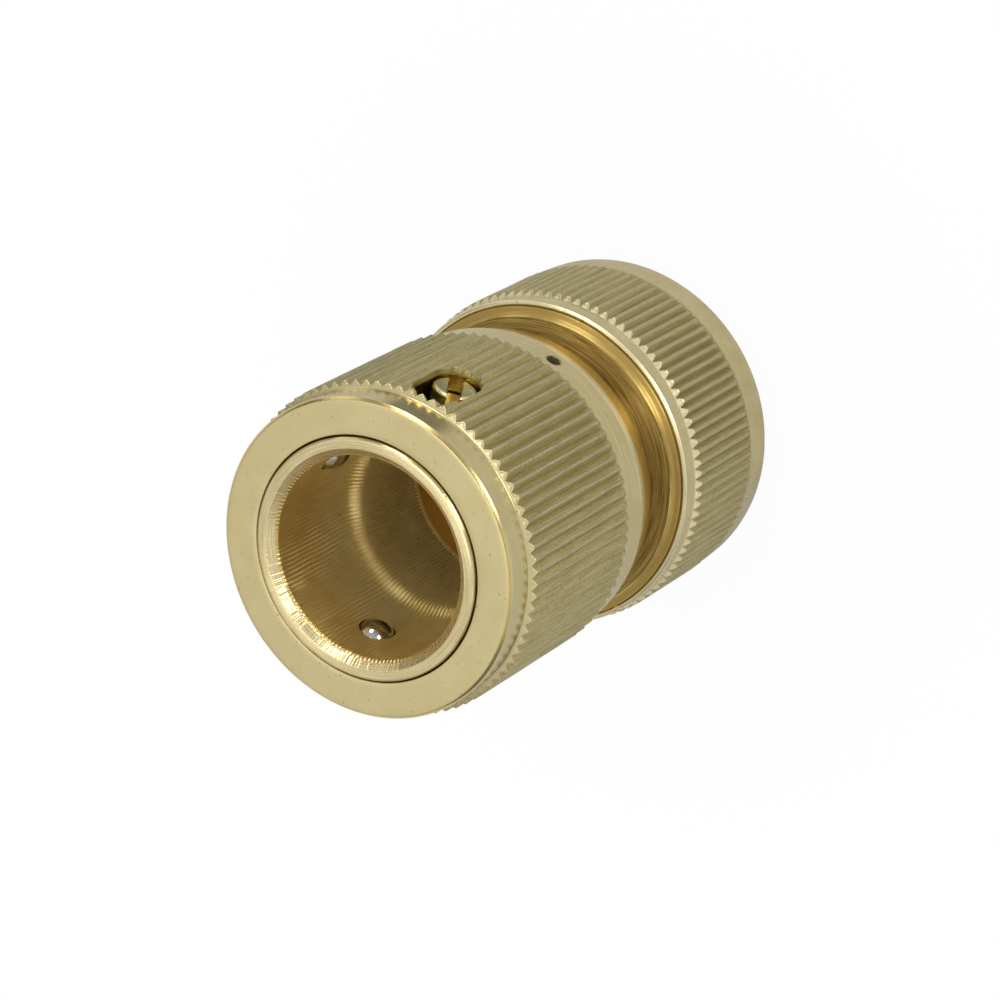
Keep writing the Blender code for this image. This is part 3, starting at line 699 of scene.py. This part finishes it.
def makeCollar(material):
    v = SimpleNamespace(**collarSizes)
    wide = knurlAngles(v.teeth, v.tipFlat)
    narrow = evenAngles(v.teeth * 2)
    top = v.knurlTop
    bottom = v.knurlBottom
    step = v.stepDrop
    crest = v.crestRadius + 0.01
    shoulder = v.shoulderRadius
    front = v.front
    face = softCorners([
        (v.bore, front - 0.5, 0.0),
        (v.bore, front, v.edge),
        (shoulder - v.chamfer, front, 0.05),
        (shoulder, front - v.chamfer, 0.05),
        (shoulder, top, 0.06),
        (crest, top - step, 0.0),
    ], 3)
    outer = divideRuns(face[2:], 0.4)[:-1]
    rise = crest - shoulder
    stepRows = [(shoulder + rise * t, top - step * t) for t in np.linspace(0.1, 1.0, 12)]
    outer = [p for p in outer if p[1] > top - 0.02 and p[0] <= shoulder + 0.03] + stepRows
    outer += [(crest, level) for level in np.linspace(top - step - 0.4, bottom + 0.5, 34)]
    outer += [(crest - 0.46 * t, bottom + 0.3 - 0.3 * t) for t in np.linspace(0, 1, 8)]
    pitLow, pitHigh = v.pitBand
    outer += [(v.rearShoulder, level) for level in np.linspace(pitHigh - 0.1, pitLow + 0.1, 20)]
    rear = softCorners([
        (v.rearShoulder, pitLow + 0.1, 0.0),
        (v.rearShoulder, v.taperTop, 0.12),
        (v.rearEdge, v.rear, 0.12),
        (v.chamber, v.rear, 0.15),
        (v.chamber, v.rear + 1.0, 0.0),
    ], 3)
    outer += divideRuns(rear[1:-1], 0.35)
    inner = softCorners([
        (v.chamber, v.rear + 0.5, 0.0),
        (v.chamber, v.springSeat, 0.1),
        (v.bore, v.springSeat, 0.1),
        (v.bore, v.rampFoot - 0.18, 0.05),
        (v.rampRadius, v.rampFoot, 0.05),
        (v.recessRadius, front - v.lip, 0.1),
        (v.bore, front - v.lip, 0.08),
        (v.bore, front - 0.3, 0.0),
    ], 2)
    inner = divideRuns(inner, 1.5)
    lipRows = [p for p in face[:2] if p[1] > front - 0.25]
    rings = turnedRings(lipRows + outer, wide, collarShape)
    rings += turnedRings(inner, narrow)
    mesh = skinRings("slidingCollar", rings)
    collar = addPiece(mesh, material, "collar", "lock_collar")
    cutWith(collar, [slotCutter()], 30)


def slotCutter():
    # The slot's rim is ragged where the milling cutter broke through the knurl
    v = SimpleNamespace(**collarSizes)
    dice = np.random.RandomState(11)
    half = v.slotHalf
    middle = (v.slotTop + v.slotBottom) / 2
    run = (v.slotTop - v.slotBottom) / 2 - half
    count = 96
    rings = []
    rough = dice.uniform(-1, 1, count)
    for distance, wider, raggedness in v.slotRim:
        points = []
        for i in range(count):
            angle = fullTurn * (i + 0.5) / count
            reach = half + wider + raggedness * rough[i]
            across = reach * cos(angle)
            level = middle + reach * sin(angle) + (run if sin(angle) > 0 else -run)
            points.append((distance, across, level))
        rings.append(np.array(points) * mm)
    turnTo = Matrix.Rotation(radians(bodySizes["screwAngle"]), 4, "Z")
    return makeCutter("slot", rings, turnTo)


nutSizes = {             # mm
    "teeth": 100, "tipFlat": 0.28, "rimRadius": 14.77, "crestRadius": 15.13,
    "top": 16.1, "counterbore": 14.32, "chamfer": 0.22, "shoulderEnd": 14.5, "crestTop": 13.8,
    "plainEnd": 4.1, "runOut": 1.1, "endRadius": 14.95, "endRound": 2.2,
    "opening": 9.9, "lip": 1.6, "coneSmall": 10.82, "coneTop": 6.6,
    "threadBore": 12.42, "threadDepth": 0.47, "threadLow": 9.7, "seat": 13.86,
    "dentDepths": (0.06, 0.05),
}


def nutShape(r, z, angles):
    v = SimpleNamespace(**nutSizes)
    level = z[0]
    if v.plainEnd - 0.01 <= level <= v.shoulderEnd and r[0] > v.counterbore + 0.28:
        heights = toothHeights(angles, level, v.teeth, v.tipFlat, 9)
        leave = np.clip((level - v.plainEnd) / v.runOut, 0, 1)
        root = v.rimRadius + (v.endRadius - v.rimRadius) * (1 - np.sqrt(1 - (1 - leave) ** 2))
        teeth = root + (v.crestRadius - root) * heights
        r = np.minimum(r, teeth) if leave > 0 else r
    if level > v.top - 0.25 and r[0] > v.counterbore - 0.12:
        dents = np.clip(wander(angles, 25, 90, 31) - 0.9, 0, 1)
        inward, down = v.dentDepths
        r = r - inward * dents
        z = z - down * dents
    return r, z


def nutBoreShape(r, z, angles):
    v = SimpleNamespace(**nutSizes)
    if v.threadLow <= z[0] <= v.seat - 0.3 and abs(r[0] - v.threadBore) < 0.02:
        fadeIn = min(1.0, (z[0] - v.threadLow) / 0.5)
        fadeOut = min(1.0, (v.seat - 0.3 - z[0]) / 0.5)
        ridge = 1 - np.clip(threadWave(z[0], angles, bodySizes["threadPitch"]) + 0.18, 0, 1)
        r = r - v.threadDepth * ridge * min(fadeIn, fadeOut)
    return r, z


def makeNut(material):
    v = SimpleNamespace(**nutSizes)
    wide = knurlAngles(v.teeth, v.tipFlat)
    narrow = evenAngles(v.teeth * 2)
    crest = v.crestRadius + 0.01
    rim = v.rimRadius
    top = v.top
    low = v.shoulderEnd
    bore = v.threadBore
    front = softCorners([
        (v.counterbore, top - 0.6, 0.0),
        (v.counterbore, top, 0.12),
        (rim - v.chamfer, top, 0.04),
        (rim, top - v.chamfer, 0.04),
        (rim, low, 0.0),
    ], 3)[1:-1]
    outer = divideRuns(front, 0.3)
    outer += [(rim, level) for level in np.linspace(top - 0.5, low, 4)]
    rise = crest - rim
    drop = low - v.crestTop
    outer += [(rim + rise * t, low - drop * t) for t in np.linspace(0.08, 1.0, 12)]
    outer += [(crest, level) for level in np.linspace(v.crestTop - 0.35, v.plainEnd + v.runOut, 20)]
    outer += [(crest - 0.18 * (1 - t) ** 2, v.plainEnd + v.runOut * t) for t in np.linspace(0.9, 0.0, 10)]
    end = softCorners([
        (v.endRadius, v.plainEnd, 0.0),
        (v.endRadius, 0.0, v.endRound),
        (v.opening, 0.0, 0.2),
        (v.opening, 1.0, 0.0),
    ], 8)[1:-1]
    outer += divideRuns(end, 0.5)
    inner = softCorners([
        (v.opening, 0.7, 0.0),
        (v.opening, v.lip, 0.1),
        (v.coneSmall, v.lip, 0.1),
        (bore, v.coneTop, 0.1),
        (bore, v.threadLow, 0.0),
        (bore, v.seat, 0.1),
        (v.counterbore, v.seat, 0.1),
        (v.counterbore, top - 0.4, 0.0),
    ], 2)
    rows = []
    for start, finish in zip(inner, inner[1:]):
        inThread = start[0] > bore - 0.12 and finish[0] < bore + 0.08
        inThread = inThread and start[1] >= v.threadLow - 0.01
        rows += divideRuns([start, finish], 0.1 if inThread else 1.0)[:-1]
    rows.append(inner[-1])
    rings = turnedRings(outer, wide, nutShape) + turnedRings(rows, narrow, nutBoreShape)
    mesh = skinRings("clampingNut", rings)
    addPiece(mesh, material, "nut", "clamp_nut")
    smoothTo(mesh, 30)


screwSizes = {           # mm
    "seatRadius": 10.45, "headRadius": 1.9, "headFoot": 0.3, "headTop": 3.15, "headEdge": 0.38,
    "crown": 0.05, "crownRadius": 0.9, "shankRadius": 1.15, "point": -1.47,
    "slotWidth": 1.05, "slotDepth": 1.5, "slotTurn": 117, "flare": 0.12,
}


def makeScrew(material):
    v = SimpleNamespace(**screwSizes)
    outline = [
        (0.02, v.point, 0.0),
        (v.shankRadius, v.point, 0.2),
        (v.shankRadius, v.headFoot, 0.1),
        (v.headRadius, v.headFoot, 0.1),
        (v.headRadius, v.headTop, v.headEdge),
        (v.crownRadius, v.headTop + v.crown, 0.0),
        (0.02, v.headTop + v.crown, 0.0),
    ]
    points = softCorners(outline, 4)
    rings = turnedRings(divideRuns(points, 0.3), evenAngles(72))
    mesh = skinRings("stopScrew", rings, False)
    placement = radialPlacement(bodySizes["screwAngle"], v.seatRadius, bodySizes["screwLevel"])
    mesh.transform(placement)
    screw = addPiece(mesh, material, "body", "stop_screw")
    half = v.slotWidth / 2
    top = v.headTop
    # The slot's upper edges are broken by a small flare
    wide = half + v.flare
    section = [(-half, top - v.slotDepth), (half, top - v.slotDepth), (half, top - 0.14),
               (wide, top + 0.02), (wide, top + 0.6), (-wide, top + 0.6), (-wide, top + 0.02),
               (-half, top - 0.14)]
    rings = [np.array([(x, y, z) for y, z in section]) * mm for x in (-3.0, 3.0)]
    turnTo = placement @ Matrix.Rotation(radians(v.slotTurn), 4, "Z")
    cutWith(screw, [makeCutter("driverSlot", rings, turnTo)], 32)


def makeBalls(material):
    v = SimpleNamespace(**bodySizes)
    for number, degrees in enumerate(v.ballAngles, 1):
        bm = bmesh.new()
        bmesh.ops.create_icosphere(bm, subdivisions=5, radius=v.ballRadius * mm)
        bm.transform(radialPlacement(degrees, v.ballTrack, v.ballLevel))
        mesh = bpy.data.meshes.new(f"lockBall{number}")
        bm.to_mesh(mesh)
        bm.free()
        mesh.shade_smooth()
        addPiece(mesh, material, f"ball_{number}", f"lock_ball_{number}")


springSizes = {          # mm
    "radius": 11.25, "wire": 0.5, "turns": 6.0, "closedTurns": 0.9, "closedGap": 0.1,
    "low": 22.5, "high": 32.7, "stepsPerTurn": 48, "wireSides": 14, "stroke": 3.0, "ground": 0.06,
}


def makeSpring(material):
    v = SimpleNamespace(**springSizes)
    low = v.low + v.wire
    high = v.high - v.wire
    closedPitch = 2 * v.wire + v.closedGap
    closedRise = v.closedTurns * closedPitch
    openTurns = v.turns - 2 * v.closedTurns
    openPitch = (high - low - 2 * closedRise) / openTurns
    count = int(v.turns * v.stepsPerTurn)
    rings = []
    for i in range(count + 1):
        turn = v.turns * i / count
        level = low + min(turn, v.closedTurns) * closedPitch
        level += min(max(turn - v.closedTurns, 0), openTurns) * openPitch
        level += max(turn - v.closedTurns - openTurns, 0) * closedPitch
        ring = []
        for k in range(v.wireSides):
            around = fullTurn * k / v.wireSides
            r = v.radius + v.wire * cos(around)
            # The ends are ground flat where they seat
            z = min(max(level + v.wire * sin(around), v.low + v.ground), v.high - v.ground)
            ring.append((r * cos(fullTurn * turn), r * sin(fullTurn * turn), z))
        rings.append(np.array(ring) * mm)
    mesh = skinRings("collarSpring", rings, False)
    smoothTo(mesh, 40)
    spring = addPiece(mesh, material, "body", "collar_spring")
    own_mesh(spring)


ringSizes = {            # mm
    "outer": 12.0, "front": 9.26, "rear": 1.9, "rearRadius": 10.62, "bore": 9.2, "tooth": 0.4,
    "teeth": 3, "slope": 0.2, "fingers": 6, "slit": 0.9, "root": 2.4,
    "coneSlope": 5.0 / 1.6,      # as the nut's cone
}


def makeGripRing(material):
    v = SimpleNamespace(**ringSizes)
    coneTop = v.rear + (v.outer - v.rearRadius) * v.coneSlope
    outline = [(v.outer, v.front, 0.2), (v.outer, coneTop, 0.1), (v.rearRadius, v.rear, 0.15),
               (v.bore + v.tooth, v.rear, 0.1)]
    pitch = (v.front - v.rear) / (v.teeth + 1)
    for i in range(v.teeth):
        level = v.rear + (i + 0.5) * pitch
        outline += [(v.bore, level, 0.05), (v.bore + v.tooth, level + v.slope * pitch, 0.08)]
    outline += [(v.bore + v.tooth, v.front, 0.15)]
    points = softCorners(outline, 3)
    rows = divideRuns(points + [points[0]], 0.8)[:-1]
    mesh = skinRings("hoseGripRing", turnedRings(rows, evenAngles(180)))
    ring = addPiece(mesh, material, "grip", "hose_grip_ring")
    cutters = []
    half = v.slit / 2
    top = v.front - v.root
    for i in range(v.fingers):
        # A slit with a round root, so that the fingers don't crack there
        outline = [(-half, v.rear - 1.0), (half, v.rear - 1.0)]
        outline += [(half * cos(a), top - half + half * sin(a)) for a in np.linspace(0, pi, 9)]
        rings = [np.array([(x, y, z) for y, z in outline]) * mm for x in (v.bore - 1.7, v.outer + 2.0)]
        turnTo = Matrix.Rotation(fullTurn * (i + 0.5) / v.fingers, 4, "Z")
        cutters.append(makeCutter(f"slit{i}", rings, turnTo))
    cutWith(ring, cutters, 32)


cameraView = {
    "place": (0.19463, 0.0, 0.29848),
    "right": (0.71310374, -0.48838129, -0.50295802),
    "up": (0.39679786, 0.8726234, -0.28474524),
    "lens": 140.66, "sensor": 36.0, "near": 0.01,
}

room = {
    "top": 0.72, "horizon": 0.16,      # brightness of the tent round the part
    "middle": 0.025,                   # the level in m that the lamps aim at
    "floorHalf": 3.0,
}

lamps = {
    # name: (direction from the object, distance in m, width and height in m, watts)
    "topBox": ((0.02, 0.12, 1.0), 0.7, (0.5, 0.5), 1.25),
    "faceBox": ((-0.60, 0.0, 0.80), 0.7, (0.9, 0.9), 0.10),      # lights the mouth's ring evenly
    "windowBox": ((0.474, 0.821, 0.32), 0.7, (0.22, 0.4), 1.25),     # two bright boxes, low on the
    "rightBox": ((0.94, -0.03, 0.34), 0.7, (0.22, 0.4), 1.7),        # right, with a gap between
    "leftBox": ((-0.14, 0.96, 0.24), 0.7, (0.2, 0.2), 0.15),         # seen in the lead-in's foot
    "frontBox": ((0.487, -0.733, 0.475), 0.7, (0.7, 0.4), 0.3),
}


def makeStudio():
    scene = bpy.context.scene
    eye = bpy.data.cameras.new("camera")
    eye.lens = cameraView["lens"]
    eye.sensor_width = cameraView["sensor"]
    eye.clip_start = cameraView["near"]
    camera = addObject("camera", eye)
    right = Vector(cameraView["right"]).normalized()
    up = Vector(cameraView["up"]).normalized()
    back = right.cross(up)
    turned = Matrix((right, up, back)).transposed().to_4x4()
    camera.matrix_world = Matrix.Translation(cameraView["place"]) @ turned
    scene.camera = camera
    for name, (direction, distance, size, watts) in lamps.items():
        light = bpy.data.lights.new(name, "AREA")
        light.shape = "RECTANGLE"
        light.size, light.size_y = size
        light.energy = watts
        lamp = addObject(name, light)
        place = Vector(direction).normalized() * distance
        lamp.location = place + Vector((0, 0, room["middle"]))
        lamp.rotation_mode = "QUATERNION"
        lamp.rotation_quaternion = (-place).to_track_quat("-Z", "Y")
    bm = bmesh.new()
    bmesh.ops.create_grid(bm, x_segments=8, y_segments=8, size=room["floorHalf"])
    mesh = bpy.data.meshes.new("floor")
    bm.to_mesh(mesh)
    bm.free()
    mesh.materials.append(paperFloor("whitePaper"))
    addObject("floor", mesh)
    makeCard()
    world = bpy.data.worlds.new("studio")
    world.use_nodes = True
    scene.world = world
    tree = world.node_tree
    add = partial(addNode, tree)
    path = add("LightPath")
    white = add("Background", {"Color": (1, 1, 1, 1)})
    both = add("MixShader", {0: path.outputs["Is Camera Ray"], 1: tree.nodes["Background"], 2: white})
    rise = add("SeparateXYZ", {"Vector": add("TexCoord").outputs["Generated"]})
    level = add("MapRange", {"Value": rise.outputs["Z"], "From Max": 0.7,
                             "To Min": room["horizon"], "To Max": room["top"]},
                interpolation_type="SMOOTHSTEP")
    setInputs(tree.nodes["Background"], {"Color": level})
    setInputs(tree.nodes["World Output"], {"Surface": both})
    scene.view_settings.view_transform = "Standard"


card = {"from": 44, "to": 82, "inner": 36, "outer": 56, "lift": 0.3}      # degrees and mm


def makeCard():
    # A grey card lies beside the part, out of the camera's sight, and gives its turned shoulders
    # their dark side
    corners = []
    for reach, ends in ((card["inner"], ("from", "to")), (card["outer"], ("to", "from"))):
        for degrees in np.linspace(card[ends[0]], card[ends[1]], 16):
            corners.append((reach * cos(radians(degrees)), reach * sin(radians(degrees)), card["lift"]))
    mesh = bpy.data.meshes.new("darkCard")
    mesh.from_pydata((np.array(corners) * mm).tolist(), [], [tuple(range(len(corners)))])
    made = addObject("darkCard", mesh)
    made.visible_camera = False
    made.visible_shadow = False
    made.visible_diffuse = False
    material, add, shader = newMaterial("greyCard")
    fibre = add("TexNoise", {"Vector": placeInMm(add), "Scale": 1 / 0.8})
    colour = add("Mix", {"Factor": fibre, "A": "#6e6e6a", "B": "#7c7c78"}, data_type="RGBA")
    setInputs(shader, {"Base Color": colour, "Roughness": 0.9})
    mesh.materials.append(material)


def paperFloor(name):
    # Matt white paper. The camera sees it as plain white but for the part's shadow. In the metal
    # it is shaded close to the part and glows white further off, a painted reflection.
    material, add, shader = newMaterial(name)
    place = placeInMm(add)
    away = add("VectorMath", {0: place}, operation="LENGTH")
    path = add("LightPath")
    toCamera = add("MapRange", {"Value": away, "From Min": 15, "From Max": 45, "To Min": 0.96})
    toCamera = add("Math", {0: path.outputs["Is Camera Ray"], 1: toCamera}, operation="MULTIPLY")
    # Painted reflection: further off, the floor glows white for glossy rays
    paintedWhiteInMetal = add("MapRange", {"Value": away, "From Min": 50, "From Max": 110, "To Max": 0.9})
    paintedWhiteInMetal = add("Math", {0: path.outputs["Is Glossy Ray"], 1: paintedWhiteInMetal}, operation="MULTIPLY")
    seen = add("Math", {0: toCamera, 1: paintedWhiteInMetal}, operation="MAXIMUM")
    fibre = add("TexNoise", {"Vector": place, "Scale": 1 / 0.8, "Detail": 3.0})
    colour = add("Mix", {"Factor": fibre, "A": "#cececa", "B": "#c8c8c4"}, data_type="RGBA")
    white = add("Emission", {"Color": (1, 1, 1, 1), "Strength": 1.0})
    both = add("MixShader", {0: seen, 1: shader, 2: white})
    setInputs(shader, {"Base Color": colour, "Roughness": 0.9})
    setInputs(material.node_tree.nodes["Material Output"], {"Surface": both})
    return material


# where each finish lies, in mm
bodyPlaces = {
    "bore": bodySizes["boreRadius"], "boreLow": bodySizes["sealEnd"] - 0.3,
    "leadIn": bodySizes["mouthTop"] - bodySizes["leadIn"] + 0.02,
    "rim": bodySizes["boreRadius"] + bodySizes["leadIn"], "bead": bodySizes["beadRadius"] + 0.05,
}
collarPlaces = {
    "knurlLow": collarSizes["knurlBottom"], "knurlHigh": collarSizes["knurlTop"],
    "root": collarSizes["shoulderRadius"], "crest": collarSizes["crestRadius"],
    "front": collarSizes["front"] - 0.05, "rear": collarSizes["rear"] + 0.2, "skin": 13.7,
    # edge and edgeHalf: level and half height of the band painted bright as a highlight on the rear taper
    "frontSlope": 1.886, "edge": 21.2, "edgeHalf": 1.55, "fade": 0.25, "clean": "#dccd9c",
    # tip and flank: lighter tips and darker flanks, partly painted highlight and painted shade
    "flank": "#c2b57f", "flankDull": "#a99c6a", "tip": "#c8bc94", "tipDull": "#a69b74",
}
nutPlaces = {
    "knurlLow": nutSizes["plainEnd"], "knurlHigh": nutSizes["shoulderEnd"],
    "root": nutSizes["rimRadius"], "crest": nutSizes["crestRadius"],
    "front": nutSizes["top"] - 0.2, "rear": 1.5, "skin": 14.25,
    # edge and edgeHalf: level and half height of the band painted bright as a highlight on the front rim
    "frontSlope": 0.514, "edge": 15.92, "edgeHalf": 0.03, "fade": 0.11, "clean": "#eadcb2",
    # tip and flank: lighter tips and darker flanks, partly painted highlight and painted shade
    "flank": "#c1b486", "flankDull": "#aa9e72", "tip": "#cabe94", "tipDull": "#b4a980",
}
pitTurn = radians(collarSizes["pitAngle"])
pitRadius = collarSizes["rearShoulder"] - 0.05
pitPlace = (pitRadius * cos(pitTurn), pitRadius * sin(pitTurn), collarSizes["pitLevel"])
latheBrass = turnedBrass("turnedBrass", bodyPlaces)
collarBrass = tumbledBrass("tumbledBrassCollar", collarPlaces, pitPlace)
nutBrass = tumbledBrass("tumbledBrassNut", nutPlaces)
makeBody(latheBrass)
print("body made")
makeCollar(collarBrass)
print("collar made")
makeNut(nutBrass)
print("nut made")
makeScrew(screwBrass("machinedBrass", screwSizes["seatRadius"] + screwSizes["headTop"]))
makeBalls(evenFinish("lappedSteel", lappedSteel))
makeSpring(evenFinish("drawnSteel", drawnSteel))
makeGripRing(evenFinish("mouldedAcetal", mouldedAcetal))
print("small pieces made")
makeStudio()
print("studio made")
